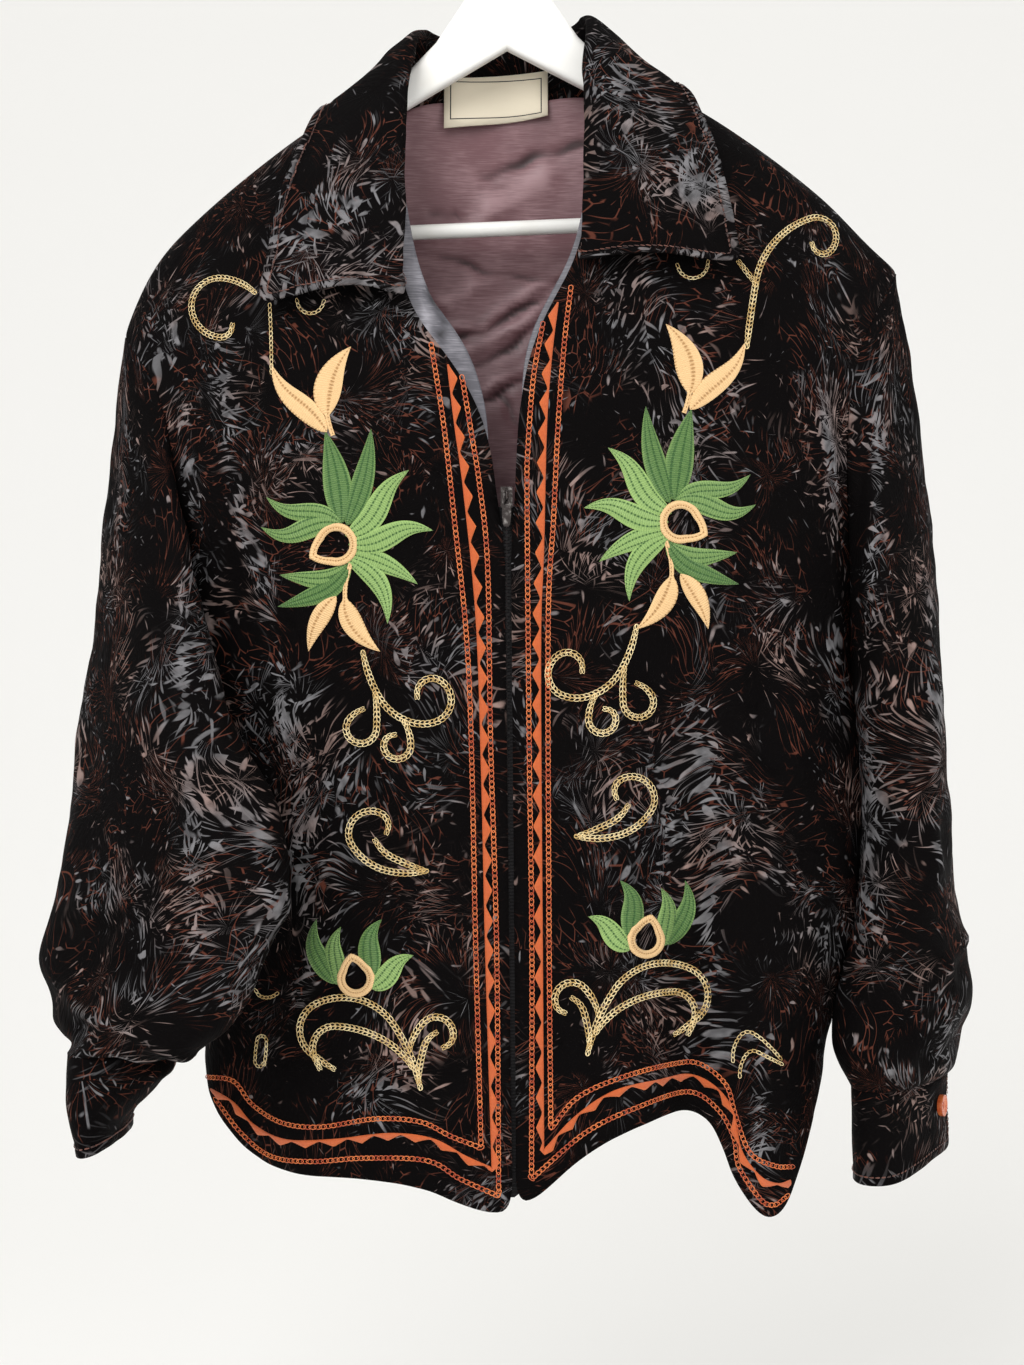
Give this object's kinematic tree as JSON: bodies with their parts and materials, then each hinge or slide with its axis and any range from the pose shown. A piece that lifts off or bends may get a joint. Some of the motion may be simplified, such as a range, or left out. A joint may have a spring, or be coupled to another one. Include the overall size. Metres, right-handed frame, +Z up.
{
  "type": "velvet jacket on hanger",
  "caption": "Crushed velvet zip-front shirt jacket with long cuffed sleeves, pointed collar and embroidered fronts, hung open at the neck on a flat hanger with a trouser bar.",
  "frame": {"origin": "inside top of the hanger's hook, where it rests on a rail", "axes": "+Z up, +X to the viewer's right facing the jacket's front, +Y away from the viewer, so the front faces -Y"},
  "size_m": [0.5604, 0.2262, 0.8209],
  "materials": {
    "velvet": "crushed pile",
    "facing_satin": "satin",
    "lining_satin": "satin, wrinkled",
    "zip_tape": "woven tape",
    "zip_metal": "dark metal",
    "button_orange": "satin",
    "label_cream": "woven, blank",
    "hanger_white": "satin",
    "hook_steel": "polished"
  },
  "bodies": {
    "jacket": {"front_left": "velvet", "front_right": "velvet", "back": "velvet", "sleeve_left": "velvet", "sleeve_right": "velvet", "cuff_left": "velvet", "cuff_right": "velvet", "collar": "velvet", "facing_left": "facing_satin", "facing_right": "facing_satin", "lining_back": "lining_satin", "zip_tape_left": "zip_tape", "zip_tape_right": "zip_tape", "zip_slider": "zip_metal", "button_left": "button_orange", "button_right": "button_orange", "label": "label_cream", "hanger_board": "hanger_white", "hanger_bar": "hanger_white", "hanger_hook": "hook_steel"},
    "zip_pull_tab": {"zip_pull": "zip_metal"}
  },
  "joints": [
    {"name": "zip_pull_swing", "type": "hinge", "parent": "jacket", "child": "zip_pull_tab", "pos_m": [0, -0.0868, -0.3988], "axis": [-1, 0, 0], "range_deg": [0, 140]}
  ]
}
